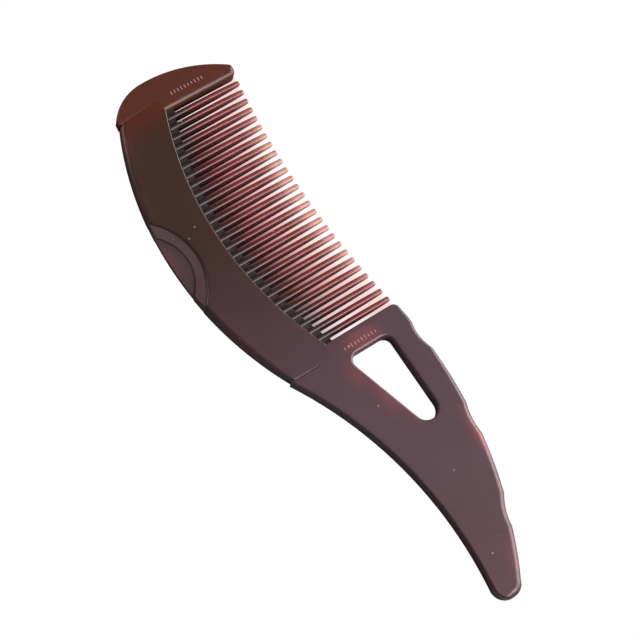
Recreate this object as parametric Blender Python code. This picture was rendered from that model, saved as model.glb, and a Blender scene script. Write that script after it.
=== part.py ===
"""Beard comb with a curved grip, as an assembly of seven moulded pieces.

The comb lies on its rear face. X runs along the tooth row from the head to the
tip of the handle, Y from the back of the spine to the tooth tips, and Z out of
the front face. The origin is under the middle of the comb.

Design sizes are in millimetres and are turned into metres as each mesh is made.
Until then X starts at the end of the head, and Y near the back of the spine.
"""

import math

import bmesh
import bpy

MM = 0.001

# Overall sizes
LENGTH = 180.0             # end of the head to the tip of the handle
THICKNESS = 4.6            # rear face to front face
GAP = 0.3                  # clearance between two pieces that touch

# Tooth row
TOOTH_COUNT = 27
TOOTH_PITCH = 3.0
TOOTH_WIDTH = 1.5
TOOTH_ROUND = 0.35         # rounding of a tooth's four long edges
ROOT_STEP = 0.25           # the roots lie this far below both faces
TOOTH_TIP_THICKNESS = 1.4
TAPER_POWER = 3.0          # most of the thickness is lost near the tip
TIP_ROUND = 0.6            # plan radius at the corners of a tip
TIP_LINE = 48.4            # height of the tips at both ends of the row
TIP_RISE = 3.4             # bow of the tip line

# Head guard
HEAD_LENGTH = 11.1         # end of the head to the wall beside the first tooth
HEAD_CORNER = (6.4, 10.1)  # where the head meets the back of the spine
HEAD_CROWN = (0.2, 21.6)   # where the tight shoulder turns into the long crown
HEAD_CROWN_RISE = 2.3
HEAD_SHOULDER_RISE = 1.4
GUARD_TOP = 46.9           # height at which both guard walls start to turn over

# Spine and its cheeks
HEAD_SEAM = 8.0            # crease between the head and the cheeks
HANDLE_SEAM_SETBACK = 4.3  # crease of the handle, past its guard wall
SPINE_ENDS = 9.9           # height of the back edge at both creases
SPINE_BACK_RISE = 10.45    # bow of the back edge
SPINE_INSET = 0.35         # the cheeks sit this far inside the head and handle
RIM_ENDS = 24.0            # height of the rim line at both guard walls
RIM_RISE = 8.3             # bow of the rim line
RIM_ROUND = 0.3
CHEEK_WALL = 2.0           # solid edge of a cheek along the back

# Core of the tooth blade
CORE_THICKNESS = 2.2
WEB_DEPTH = 3.0            # webs between the teeth reach this far past the rim
TONGUE_LENGTH = 3.6        # part of the core inside the head guard
TONGUE_SPAN = (15.0, 21.5)
TANG_LENGTH = 13.0         # part of the core inside the handle
TANG_ROOT_SPAN = (13.5, 21.5)
TANG_END_SPAN = (19.5, 24.5)

# Handle
EDGE_ROUND = 0.9           # rounding of the outer edges
HANDLE_BACK_START = 9.8
HANDLE_BACK_RISE = 6.7     # hollow of the handle's back
HANDLE_END_RISE = 3.75
TIP_BACK = (4.6, 24.1)     # back edge at the tip: distance from its end, height
TIP_FRONT = (2.9, 32.6)    # tooth-side edge at the tip
LAST_SWELL_RISE = 0.3
# Tooth-side edge from the tip to the guard: share of the handle's length, height,
# and bow up to the next point. Three short scoops lie between long swells.
GRIP_EDGE = [
    (0.812, 39.3, -0.60),
    (0.714, 42.8, 0.35),
    (0.513, 47.6, -0.55),
    (0.403, 48.9, 0.35),
    (0.193, 49.7, -0.85),
    (0.085, 49.1, 0.10),
]

# Finger hole, a rounded triangle
HOLE_SETBACK = 6.6         # guard wall to the straight end of the hole
HOLE_LENGTH = 27.0
HOLE_TOP = 41.2            # its straight side, which runs along X
HOLE_END_WIDTH = 13.5
HOLE_END_RADIUS = 2.6
HOLE_POINT_RADIUS = 3.5
HOLE_EDGE_ROUND = 0.5

# Finger rest in the back of the spine
REST_SHIFT = 0.4           # past the middle of the tooth row
REST_CHORD = 30.6
REST_DEPTH = 7.4
REST_STEP = 0.5            # ledge below the face of the cheek
PAD_CHORD = 21.4
PAD_DEPTH = 4.8
PAD_STEP = 0.4             # pad below the ledge
REST_ROUND = 0.15

MID = THICKNESS / 2
CORE_BOTTOM = MID - CORE_THICKNESS / 2
CORE_TOP = MID + CORE_THICKNESS / 2
ROOT_THICKNESS = THICKNESS - 2 * ROOT_STEP
SLOT = TOOTH_PITCH - TOOTH_WIDTH
ROW_LENGTH = TOOTH_COUNT * TOOTH_PITCH + SLOT
ROW_MIDDLE = HEAD_LENGTH + ROW_LENGTH / 2
HANDLE_WALL = HEAD_LENGTH + ROW_LENGTH
HANDLE_SEAM = HANDLE_WALL + HANDLE_SEAM_SETBACK
HANDLE_LENGTH = LENGTH - HANDLE_WALL
FAR = 120.0                # reach of cutters past the comb


# ---------------------------------------------------------------- outlines

def spaced(start, end, count):
    return [start + (end - start) * step / (count - 1) for step in range(count)]


def arc(start, end, rise, steps):
    """Points of an arc from start up to, not including, end. A positive rise
    bows it to the right of the way it runs."""
    if steps == 1:
        return [start]
    chord = math.dist(start, end)
    radius = (chord * chord / 4 + rise * rise) / (2 * abs(rise))
    half = math.asin(chord / (2 * radius))
    along = ((end[0] - start[0]) / chord, (end[1] - start[1]) / chord)
    turn = math.copysign(1.0, rise)
    points = []
    for step in range(steps):
        angle = half * (2 * step / steps - 1)
        run = chord / 2 + radius * math.sin(angle)
        lift = turn * radius * (math.cos(angle) - math.cos(half))
        points.append((start[0] + along[0] * run + along[1] * lift,
                       start[1] + along[1] * run - along[0] * lift))
    return points


def chain(stretches):
    """One closed outline from (start, rise, steps) stretches."""
    points = []
    for index, (start, rise, steps) in enumerate(stretches):
        end = stretches[(index + 1) % len(stretches)][0]
        points += arc(start, end, rise, steps)
    return points


def bow(x, middle, half_chord, ends, rise):
    """Height at x of an arc that sags by rise between two ends of one height."""
    radius = (half_chord ** 2 + rise ** 2) / (2 * rise)
    return ends - rise + radius - math.sqrt(radius ** 2 - (x - middle) ** 2)


def rim_height(x):
    return bow(x, ROW_MIDDLE, ROW_LENGTH / 2, RIM_ENDS, RIM_RISE)


def tip_height(x):
    return bow(x, ROW_MIDDLE, ROW_LENGTH / 2, TIP_LINE, TIP_RISE)


def back_height(x):
    """Back edge of the cheeks."""
    middle = (HEAD_SEAM + HANDLE_SEAM) / 2
    half_chord = (HANDLE_SEAM - HEAD_SEAM) / 2
    return SPINE_INSET + bow(x, middle, half_chord, SPINE_ENDS, SPINE_BACK_RISE)


def frame_outline():
    """Head, spine and handle without the teeth, counter-clockwise."""
    stretches = [
        (HEAD_CORNER, 0.0, 1),
        ((HEAD_SEAM, SPINE_ENDS), SPINE_BACK_RISE, 40),
        ((HANDLE_SEAM + 0.5, HANDLE_BACK_START), -HANDLE_BACK_RISE, 32),
        ((LENGTH - TIP_BACK[0], TIP_BACK[1]), HANDLE_END_RISE, 12),
        ((LENGTH - TIP_FRONT[0], TIP_FRONT[1]), LAST_SWELL_RISE, 6),
    ]
    for share, height, rise in GRIP_EDGE:
        stretches.append(((HANDLE_WALL + share * HANDLE_LENGTH, height), rise, 7))
    stretches += [
        ((HANDLE_WALL + 1.95, GUARD_TOP + 1.55), 0.45, 5),
        ((HANDLE_WALL, GUARD_TOP - 0.3), 0.0, 1),
        ((HANDLE_WALL, RIM_ENDS), -RIM_RISE, 36),
        ((HEAD_LENGTH, RIM_ENDS), 0.0, 1),
        ((HEAD_LENGTH, GUARD_TOP), 1.2, 7),
        ((HEAD_LENGTH - 3.6, GUARD_TOP + 1.0), HEAD_CROWN_RISE, 16),
        (HEAD_CROWN, HEAD_SHOULDER_RISE, 12),
    ]
    return chain(stretches)


def spine_outline():
    """Both cheeks and the finger rest, run on past the two seams."""
    left, right = HEAD_SEAM - 4, HANDLE_SEAM + 4
    back = [(x, back_height(x)) for x in spaced(left, right, 56)]
    rim = [(x, rim_height(x)) for x in spaced(HANDLE_WALL, HEAD_LENGTH, 44)]
    return back + [(right, RIM_ENDS + 1)] + rim + [(left, RIM_ENDS + 1)]


def head_seam(shift):
    """Seam between the head and the cheeks, from the back up to the rim."""
    return [
        (HEAD_SEAM + 0.4 + shift, -FAR),
        (HEAD_SEAM + 0.4 + shift, SPINE_ENDS),
        (HEAD_SEAM - 0.9 + shift, RIM_ENDS - 2.0 - shift),
        (HEAD_LENGTH + shift, RIM_ENDS - shift),
    ]


def handle_seam(shift):
    """Seam between the cheeks and the handle, from the rim down to the back."""
    return [
        (HANDLE_WALL + shift, RIM_ENDS + shift),
        (HANDLE_SEAM + shift, RIM_ENDS - 1.0 + shift),
        (HANDLE_SEAM + shift, -FAR),
    ]


def core_back(margin):
    """Back edge of the core, with a margin all round inside its pocket."""
    left, right = HEAD_SEAM + 2.5, HANDLE_SEAM - 0.5
    edge = [(left + margin, TONGUE_SPAN[0] - GAP + margin)]
    edge += [(x, back_height(x) + CHEEK_WALL + margin)
             for x in spaced(left + 1.5 + margin, right - 1.5 - margin, 25)]
    return edge + [(right - margin, TANG_ROOT_SPAN[0] - GAP + margin)]


def core_outline():
    """Tongue, back edge, tang and slot floors of the tooth blade's core."""
    tang_end = HANDLE_SEAM + TANG_LENGTH
    points = [(HEAD_SEAM - TONGUE_LENGTH, TONGUE_SPAN[0])]
    points += core_back(GAP)
    points += [
        (tang_end, TANG_END_SPAN[0]),
        (tang_end, TANG_END_SPAN[1]),
        (HANDLE_SEAM, TANG_ROOT_SPAN[1]),
        (HANDLE_WALL - GAP, TANG_ROOT_SPAN[1]),
    ]
    for index in reversed(range(TOOTH_COUNT + 1)):
        left = max(slot_start(index) - SLOT * 0.1, HEAD_LENGTH + GAP)
        right = min(slot_start(index) + SLOT * 1.1, HANDLE_WALL - GAP)
        floor = rim_height((left + right) / 2) + WEB_DEPTH
        points += [(right, floor), (left, floor)]
    points += [
        (HEAD_LENGTH + GAP, TONGUE_SPAN[1]),
        (HEAD_SEAM - TONGUE_LENGTH, TONGUE_SPAN[1]),
    ]
    return points


def slot_start(index):
    return HEAD_LENGTH + index * TOOTH_PITCH


def tangent_angle(circle, following):
    """Direction from a circle's centre to the tangent line that it shares with
    the next circle, walked counter-clockwise."""
    dx, dy = following[0] - circle[0], following[1] - circle[1]
    return math.atan2(dy, dx) - math.acos((circle[2] - following[2]) / math.hypot(dx, dy))


def hole_outline(grow):
    """The finger hole, grown outwards by grow."""
    left = HANDLE_WALL + HOLE_SETBACK
    circles = [
        (left + HOLE_END_RADIUS, HOLE_TOP - HOLE_END_WIDTH + HOLE_END_RADIUS, HOLE_END_RADIUS),
        (left + HOLE_LENGTH - HOLE_POINT_RADIUS, HOLE_TOP - HOLE_POINT_RADIUS, HOLE_POINT_RADIUS),
        (left + HOLE_END_RADIUS, HOLE_TOP - HOLE_END_RADIUS, HOLE_END_RADIUS),
    ]
    points = []
    for index, (x, y, radius) in enumerate(circles):
        start = tangent_angle(circles[index - 1], circles[index])
        end = tangent_angle(circles[index], circles[(index + 1) % 3])
        if end < start:
            end += 2 * math.pi
        for angle in spaced(start, end, 9):
            points.append((x + (radius + grow) * math.cos(angle),
                           y + (radius + grow) * math.sin(angle)))
    return points


def disc(chord, depth, shrink):
    """A circle that crosses the back line along chord and rises to depth."""
    radius = (chord * chord / 4 + depth * depth) / (2 * depth)
    return [(ROW_MIDDLE + REST_SHIFT + (radius - shrink) * math.cos(angle),
             depth - radius + (radius - shrink) * math.sin(angle))
            for angle in spaced(0, 2 * math.pi, 121)[:-1]]


# ---------------------------------------------------------------- mesh helpers

def placement():
    """Design X and Y that lie over the origin."""
    heights = [y for _, y in frame_outline()]
    lowest = min(back_height(x) for x in spaced(HEAD_SEAM, HANDLE_SEAM, 201))
    return LENGTH / 2, (lowest + max(heights)) / 2


ORIGIN = placement()


def loft(name, sections):
    """A closed solid through sections, each a ring of (x, y, z) points."""
    shape = bmesh.new()
    rings = []
    for ring in sections:
        rings.append([shape.verts.new(((x - ORIGIN[0]) * MM, (y - ORIGIN[1]) * MM, z * MM))
                      for x, y, z in ring])
    for lower, upper in zip(rings, rings[1:]):
        for index, vertex in enumerate(lower):
            after = (index + 1) % len(lower)
            shape.faces.new((vertex, lower[after], upper[after], upper[index]))
    shape.faces.new(list(reversed(rings[0])))
    shape.faces.new(rings[-1])
    bmesh.ops.recalc_face_normals(shape, faces=shape.faces)
    mesh = bpy.data.meshes.new(name)
    shape.to_mesh(mesh)
    shape.free()
    solid = bpy.data.objects.new(name, mesh)
    bpy.context.scene.collection.objects.link(solid)
    return solid


def prism(name, outline, bottom, top):
    return loft(name, [[(x, y, z) for x, y in outline] for z in (bottom, top)])


def round_rims(solid, width, segments):
    """Round the edges round a prism's two faces."""
    shape = bmesh.new()
    shape.from_mesh(solid.data)
    rims = [edge for edge in shape.edges
            if abs(edge.verts[0].co.z - edge.verts[1].co.z) < 0.01 * MM]
    bmesh.ops.bevel(shape, geom=rims, offset=width * MM, segments=segments,
                    profile=0.5, affect="EDGES", clamp_overlap=True)
    shape.to_mesh(solid.data)
    shape.free()
    return solid


def combine(solid, tool, operation="DIFFERENCE"):
    tool.hide_render = True
    tool.display_type = "WIRE"
    step = solid.modifiers.new(tool.name, "BOOLEAN")
    step.operation = operation
    step.object = tool
    step.solver = "EXACT"


def finish(solid, colour, roughness):
    """Give a piece its plastic, and smooth shading with crisp edges."""
    plastic = bpy.data.materials.new(solid.name + "_plastic")
    plastic.use_nodes = True
    shader = plastic.node_tree.nodes["Principled BSDF"]
    shader.inputs["Base Color"].default_value = (*colour, 1.0)
    shader.inputs["Roughness"].default_value = roughness
    shader.inputs["Metallic"].default_value = 0.0
    solid.data.materials.append(plastic)
    solid.data.shade_smooth()
    solid.data.set_sharp_from_angle(angle=math.radians(40))


# ---------------------------------------------------------------- tooth blade

def tooth_ring(x, y, width, thickness):
    """Cross-section of a tooth: a flat bar with four rounded corners."""
    corner = min(TOOTH_ROUND, 0.4 * width, 0.4 * thickness)
    points = []
    for quarter, (side, up) in enumerate(((1, 1), (-1, 1), (-1, -1), (1, -1))):
        for turn in (0.0, 0.5, 1.0):
            angle = (quarter + turn) * math.pi / 2
            points.append((x + side * (width / 2 - corner) + corner * math.cos(angle), y,
                           MID + up * (thickness / 2 - corner) + corner * math.sin(angle)))
    return points


def tooth(index):
    """One tooth, from its flat root beside the rim to its rounded tip."""
    x = slot_start(index) + SLOT + TOOTH_WIDTH / 2
    root = max(rim_height(x - TOOTH_WIDTH / 2), rim_height(x + TOOTH_WIDTH / 2)) + GAP
    straight = tip_height(x) - TIP_ROUND - root
    sections = []
    for share in (0.0, 0.35, 0.55, 0.7, 0.82, 0.92, 1.0):
        lost = (ROOT_THICKNESS - TOOTH_TIP_THICKNESS) * share ** TAPER_POWER
        sections.append(tooth_ring(x, root + straight * share, TOOTH_WIDTH,
                                   ROOT_THICKNESS - lost))
    for degrees in (45, 80):
        angle = math.radians(degrees)
        trim = 2 * TIP_ROUND * (1 - math.cos(angle))
        sections.append(tooth_ring(x, root + straight + TIP_ROUND * math.sin(angle),
                                   TOOTH_WIDTH - trim, TOOTH_TIP_THICKNESS - trim))
    return loft("tooth_%02d" % (index + 1), sections)


def build_tooth_blade():
    blade = prism("tooth_blade", core_outline(), CORE_BOTTOM, CORE_TOP)
    for index in range(TOOTH_COUNT):
        combine(blade, tooth(index), "UNION")
    combine(blade, prism("blade_rest_cut", disc(REST_CHORD, REST_DEPTH, 0.0), -FAR, FAR))
    finish(blade, (0.25, 0.06, 0.05), 0.25)


# ---------------------------------------------------------------- cheeks and rest

def core_pocket():
    left, right = HEAD_SEAM - 4, HANDLE_SEAM + 4
    outline = [(left, TONGUE_SPAN[0] - GAP)] + core_back(0.0)
    outline += [(right, TANG_ROOT_SPAN[0] - GAP), (right, FAR), (left, FAR)]
    return prism("core_pocket", outline, CORE_BOTTOM - GAP, CORE_TOP + GAP)


def build_cheek(name, bottom, top):
    """Half shell over the core, between the two seams."""
    cheek = round_rims(prism(name, spine_outline(), 0.0, THICKNESS), RIM_ROUND, 2)
    region = head_seam(GAP / 2)
    region += [(HEAD_LENGTH + GAP / 2, FAR), (HANDLE_WALL - GAP / 2, FAR)]
    region += handle_seam(-GAP / 2)
    combine(cheek, prism(name + "_region", region, bottom, top), "INTERSECT")
    combine(cheek, core_pocket())
    combine(cheek, prism(name + "_rest_cut", disc(REST_CHORD, REST_DEPTH, 0.0), -FAR, FAR))
    finish(cheek, (0.09, 0.035, 0.03), 0.3)


def build_finger_rest():
    """Lens that closes the back of the spine, with a lower pad on each face."""
    ledge_bottom, ledge_top = REST_STEP, THICKNESS - REST_STEP
    rest = prism("finger_rest", disc(REST_CHORD, REST_DEPTH, GAP), ledge_bottom, ledge_top)
    round_rims(rest, REST_ROUND, 1)
    combine(rest, prism("rest_region", spine_outline(), -FAR, FAR), "INTERSECT")
    pad = disc(PAD_CHORD, PAD_DEPTH, 0.0)
    combine(rest, prism("front_pad_cut", pad, ledge_top - PAD_STEP, FAR))
    combine(rest, prism("rear_pad_cut", pad, -FAR, ledge_bottom + PAD_STEP))
    finish(rest, (0.1, 0.05, 0.05), 0.35)


# ---------------------------------------------------------------- head and handle

def build_head_guard():
    head = round_rims(prism("head_guard", frame_outline(), 0.0, THICKNESS), EDGE_ROUND, 3)
    region = head_seam(-GAP / 2)
    region += [(ROW_MIDDLE, RIM_ENDS + GAP / 2), (ROW_MIDDLE, FAR), (-FAR, FAR), (-FAR, -FAR)]
    combine(head, prism("head_region", region, -FAR, FAR), "INTERSECT")
    bottom, top = TONGUE_SPAN[0] - GAP, TONGUE_SPAN[1] + GAP
    left, right = HEAD_SEAM - TONGUE_LENGTH - GAP, HEAD_LENGTH
    socket = [(left, bottom), (right, bottom), (right, top), (left, top)]
    combine(head, prism("head_socket", socket, CORE_BOTTOM - GAP, CORE_TOP + GAP))
    finish(head, (0.13, 0.045, 0.03), 0.28)


def hole_cutter(name):
    """Finger hole whose two edges flare outwards by a quarter round."""
    flare = []
    for degrees in (0, 30, 60, 90):
        angle = math.radians(degrees)
        flare.append((HOLE_EDGE_ROUND * (1 - math.cos(angle)),
                      HOLE_EDGE_ROUND * (1 - math.sin(angle))))
    levels = [(-FAR, HOLE_EDGE_ROUND)] + flare
    levels += [(THICKNESS - height, grow) for height, grow in reversed(levels)]
    return loft(name, [[(x, y, height) for x, y in hole_outline(grow)]
                       for height, grow in levels])


def tang_pocket(name):
    tang_end = HANDLE_SEAM + TANG_LENGTH + GAP
    outline = [
        (HANDLE_SEAM - 0.5, TANG_ROOT_SPAN[0] - GAP),
        (tang_end, TANG_END_SPAN[0] - GAP),
        (tang_end, TANG_END_SPAN[1] + GAP),
        (HANDLE_SEAM, TANG_ROOT_SPAN[1] + GAP),
        (HANDLE_SEAM - 0.5, TANG_ROOT_SPAN[1] + GAP),
    ]
    return prism(name, outline, CORE_BOTTOM - GAP, CORE_TOP + GAP)


def build_handle_half(name, bottom, top):
    half = round_rims(prism(name, frame_outline(), 0.0, THICKNESS), EDGE_ROUND, 3)
    region = [(ROW_MIDDLE, RIM_ENDS - GAP / 2)] + handle_seam(GAP / 2)
    region += [(LENGTH + FAR, -FAR), (LENGTH + FAR, FAR), (ROW_MIDDLE, FAR)]
    combine(half, prism(name + "_region", region, bottom, top), "INTERSECT")
    combine(half, hole_cutter(name + "_hole"))
    combine(half, tang_pocket(name + "_tang_pocket"))
    finish(half, (0.14, 0.075, 0.085), 0.3)


def build_comb():
    for thing in list(bpy.data.objects):
        bpy.data.objects.remove(thing, do_unlink=True)
    build_tooth_blade()
    build_cheek("front_cheek", MID + GAP / 2, FAR)
    build_cheek("rear_cheek", -FAR, MID - GAP / 2)
    build_finger_rest()
    build_head_guard()
    build_handle_half("front_handle_half", MID + GAP / 2, FAR)
    build_handle_half("rear_handle_half", -FAR, MID - GAP / 2)


build_comb()
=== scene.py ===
# %% [markdown]
# # A handled beard comb
# A moulded plastic comb has few parts, so its look rests on three things: true
# outlines, soft edges that catch the light, and a tinted plastic that light
# sinks into. The measured frame gives every size and place. Each piece below is
# remade on that frame as a finer surface, so nothing is moved or resized.

# %% The frame
import math

import bmesh
import bpy
from mathutils import Matrix, Vector


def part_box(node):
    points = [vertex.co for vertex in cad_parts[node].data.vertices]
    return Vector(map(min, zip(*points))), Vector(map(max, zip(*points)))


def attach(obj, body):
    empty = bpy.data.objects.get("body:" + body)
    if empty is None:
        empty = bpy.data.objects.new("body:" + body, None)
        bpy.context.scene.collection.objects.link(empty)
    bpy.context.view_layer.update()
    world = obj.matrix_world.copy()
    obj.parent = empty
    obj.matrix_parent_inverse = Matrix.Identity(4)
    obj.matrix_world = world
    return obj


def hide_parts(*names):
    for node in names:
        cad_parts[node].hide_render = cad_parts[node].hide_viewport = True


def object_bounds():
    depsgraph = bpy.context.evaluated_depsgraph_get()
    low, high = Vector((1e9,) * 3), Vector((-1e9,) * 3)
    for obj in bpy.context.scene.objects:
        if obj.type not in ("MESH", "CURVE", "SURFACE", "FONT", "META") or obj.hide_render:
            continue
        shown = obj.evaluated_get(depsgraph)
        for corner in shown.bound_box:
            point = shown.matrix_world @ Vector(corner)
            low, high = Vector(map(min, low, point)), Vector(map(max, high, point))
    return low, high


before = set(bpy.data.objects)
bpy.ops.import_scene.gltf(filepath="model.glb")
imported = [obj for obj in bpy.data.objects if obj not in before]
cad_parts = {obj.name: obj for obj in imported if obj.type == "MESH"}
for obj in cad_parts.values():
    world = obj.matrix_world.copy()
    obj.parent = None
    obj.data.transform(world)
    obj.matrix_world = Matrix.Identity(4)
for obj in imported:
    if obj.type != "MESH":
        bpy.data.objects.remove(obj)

MM = 0.001
cad_low, cad_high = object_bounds()
print("box in mm", [round(side / MM, 2) for side in cad_high - cad_low])

# %% [markdown]
# ## One drawing for all pieces
# The outlines are drawn in millimetres as a draughtsman would draw them: X
# starts at the end of the head and runs towards the handle, Y rises from the
# back of the spine to the tooth tips. The walls beside the tooth row, the
# length and the thickness are read from the frame's boxes. Long curves are
# circular arcs, because that is how such a mould is drawn.

# %% Sizes read from the frame
def in_mm(node, corner, axis):
    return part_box(node)[corner][axis] / MM


LENGTH = 2 * cad_high.x / MM
THICKNESS = cad_high.z / MM
MID = THICKNESS / 2
SHIFT_X = LENGTH / 2
HEAD_WALL = in_mm("head_guard", 1, 0) + SHIFT_X
HANDLE_WALL = in_mm("front_handle_half", 0, 0) + SHIFT_X
ROW_LENGTH = HANDLE_WALL - HEAD_WALL
ROW_MIDDLE = (HANDLE_WALL + HEAD_WALL) / 2
HANDLE_LENGTH = LENGTH - HANDLE_WALL
CORE_BOTTOM, CORE_TOP = 1.2, 3.4
FAR = 120.0                 # well past every edge, for cutters
print("tooth row from %.2f to %.2f mm" % (HEAD_WALL, HANDLE_WALL))

# %% Driving sizes of the outlines
RIM_ENDS, RIM_RISE = 24.0, 8.3
TIP_LINE, TIP_RISE = 48.4, 3.4
TOOTH_REACH = 28.0          # no tooth reaches farther from the rim arc
HEAD_SEAM, HANDLE_SEAM = 8.0, HANDLE_WALL + 4.3
SPINE_ENDS, SPINE_BACK_RISE, SPINE_INSET = 9.9, 10.45, 0.35
SEAM_OVERLAP = 4.0          # how far the spine's outline runs on past a seam
HEAD_CORNER, HEAD_CROWN, GUARD_TOP = (6.4, 10.1), (0.2, 21.6), 46.9
REST_CHORD, REST_DEPTH = 30.6, 7.4
PAD_CHORD, PAD_DEPTH = 21.4, 4.8
HOLE_LENGTH, HOLE_WIDTH = 27.0, 13.5
HOLE_START, HOLE_TOP = HANDLE_WALL + 6.6, 41.2
HOLE_CORNER, HOLE_TIP = 2.6, 3.5
GRIP_EDGE = [
    (0.812, 39.3, -0.60),
    (0.714, 42.8, 0.35),
    (0.513, 47.6, -0.55),
    (0.403, 48.9, 0.35),
    (0.193, 49.7, -0.85),
    (0.085, 49.1, 0.10),
]


def spaced(start, end, count):
    return [start + (end - start) * step / (count - 1) for step in range(count)]


def ramp(value, start, run):
    """0 up to start, then rising to 1 over run."""
    return min(1.0, max(0.0, (value - start) / run))


def arc(start, end, rise, steps):
    """Points of an arc from start up to, not including, end. A positive rise
    bows it to the right of the way it runs."""
    if steps == 1:
        return [start]
    chord = math.dist(start, end)
    radius = (chord * chord / 4 + rise * rise) / (2 * abs(rise))
    half = math.asin(chord / (2 * radius))
    along = ((end[0] - start[0]) / chord, (end[1] - start[1]) / chord)
    turn = math.copysign(1.0, rise)
    points = []
    for step in range(steps):
        angle = half * (2 * step / steps - 1)
        run = chord / 2 + radius * math.sin(angle)
        lift = turn * radius * (math.cos(angle) - math.cos(half))
        points.append((start[0] + along[0] * run + along[1] * lift,
                       start[1] + along[1] * run - along[0] * lift))
    return points


def chain(stretches):
    """One closed outline from (start, rise, steps) stretches."""
    points = []
    for index, (start, rise, steps) in enumerate(stretches):
        end = stretches[(index + 1) % len(stretches)][0]
        points += arc(start, end, rise, steps)
    return points


def bow(x, middle, half_chord, ends, rise):
    """Height at x of an arc that sags by rise between two ends of one height."""
    radius = (half_chord ** 2 + rise ** 2) / (2 * rise)
    return ends - rise + radius - math.sqrt(radius ** 2 - (x - middle) ** 2)


def rim_height(x):
    return bow(x, ROW_MIDDLE, ROW_LENGTH / 2, RIM_ENDS, RIM_RISE)


def tip_height(x):
    return bow(x, ROW_MIDDLE, ROW_LENGTH / 2, TIP_LINE, TIP_RISE)


def back_height(x):
    middle = (HEAD_SEAM + HANDLE_SEAM) / 2
    half_chord = (HANDLE_SEAM - HEAD_SEAM) / 2
    return SPINE_INSET + bow(x, middle, half_chord, SPINE_ENDS, SPINE_BACK_RISE)


def arc_circle(ends, rise):
    """Centre and radius, in metres, of an arc over the tooth row."""
    radius = ((ROW_LENGTH / 2) ** 2 + rise ** 2) / (2 * rise)
    centre = (ROW_MIDDLE - SHIFT_X, ends - rise + radius - SHIFT_Y, 0.0)
    return [part * MM for part in centre], radius * MM


SHIFT_Y = min(back_height(x) for x in spaced(HEAD_SEAM, HANDLE_SEAM, 201)) - cad_low.y / MM
print("drawing shifted by %.2f and %.2f mm" % (SHIFT_X, SHIFT_Y))

# %% Outlines of the frame and the spine
def frame_outline():
    """Head, spine and handle without the teeth, counter-clockwise."""
    stretches = [
        (HEAD_CORNER, 0.0, 1),
        ((HEAD_SEAM, SPINE_ENDS), SPINE_BACK_RISE, 120),
        ((HANDLE_SEAM + 0.5, 9.8), -6.7, 110),
        ((LENGTH - 4.6, 24.1), 3.75, 40),
        ((LENGTH - 2.9, 32.6), 0.3, 12),
    ]
    for share, height, rise in GRIP_EDGE:
        stretches.append(((HANDLE_WALL + share * HANDLE_LENGTH, height), rise, 22))
    stretches += [
        ((HANDLE_WALL + 1.95, GUARD_TOP + 1.55), 0.45, 14),
        ((HANDLE_WALL, GUARD_TOP - 0.3), 0.0, 1),
        ((HANDLE_WALL, RIM_ENDS), -RIM_RISE, 90),
        ((HEAD_WALL, RIM_ENDS), 0.0, 1),
        ((HEAD_WALL, GUARD_TOP), 1.2, 16),
        ((HEAD_WALL - 3.6, GUARD_TOP + 1.0), 2.3, 44),
        (HEAD_CROWN, 1.4, 28),
    ]
    return chain(stretches)


def spine_outline():
    """Both cheeks and the finger rest, run on past the two seams."""
    left, right = HEAD_SEAM - SEAM_OVERLAP, HANDLE_SEAM + SEAM_OVERLAP
    back = [(x, back_height(x)) for x in spaced(left, right, 160)]
    rim = [(x, rim_height(x)) for x in spaced(HANDLE_WALL, HEAD_WALL, 130)]
    return back + [(right, RIM_ENDS + 1)] + rim + [(left, RIM_ENDS + 1)]


def head_seam(shift, ease=0.0):
    """Seam from the back up to the rim. The ease of its edge fades out on the way."""
    return [
        (HEAD_SEAM + 0.4 + shift + ease, -FAR),
        (HEAD_SEAM + 0.4 + shift + ease, SPINE_ENDS),
        (HEAD_SEAM - 0.9 + shift, RIM_ENDS - 1.0 - shift),
        (HEAD_WALL + shift, RIM_ENDS - shift),
    ]


def handle_seam(shift, ease=0.0):
    return [
        (HANDLE_WALL + shift, RIM_ENDS + shift),
        (HANDLE_SEAM + shift, RIM_ENDS - 1.0 + shift),
        (HANDLE_SEAM + shift + ease, SPINE_ENDS),
        (HANDLE_SEAM + shift + ease, -FAR),
    ]


def disc(chord, depth, shrink, count=240):
    """A circle that crosses the back line along chord and rises to depth."""
    radius = (chord * chord / 4 + depth * depth) / (2 * depth)
    return [(ROW_MIDDLE + 0.4 + (radius - shrink) * math.cos(angle),
             depth - radius + (radius - shrink) * math.sin(angle))
            for angle in spaced(0, 2 * math.pi, count + 1)[:-1]]


print("frame outline", len(frame_outline()), "points")

# %% [markdown]
# ## Solids from outlines
# A flat moulding is an outline with thickness, so every solid is lofted from
# rings of points, one ring for each height. Edges are rounded in the mesh, and
# a Weighted Normal modifier keeps the big faces flat in shading while the round
# edges still run smoothly into them. A Boolean then trims a piece to its seams.

# %% Solid helpers
def loft(name, sections):
    """A closed solid through sections, each a ring of (x, y, z) points."""
    shape = bmesh.new()
    rings = []
    for ring in sections:
        rings.append([shape.verts.new(((x - SHIFT_X) * MM, (y - SHIFT_Y) * MM, z * MM))
                      for x, y, z in ring])
    for lower, upper in zip(rings, rings[1:]):
        for index, vertex in enumerate(lower):
            after = (index + 1) % len(lower)
            shape.faces.new((vertex, lower[after], upper[after], upper[index]))
    shape.faces.new(list(reversed(rings[0])))
    shape.faces.new(rings[-1])
    bmesh.ops.recalc_face_normals(shape, faces=shape.faces)
    mesh = bpy.data.meshes.new(name)
    shape.to_mesh(mesh)
    shape.free()
    solid = bpy.data.objects.new(name, mesh)
    bpy.context.scene.collection.objects.link(solid)
    return solid


def prism(name, outline, bottom, top):
    return loft(name, [[(x, y, z) for x, y in outline] for z in (bottom, top)])


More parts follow.
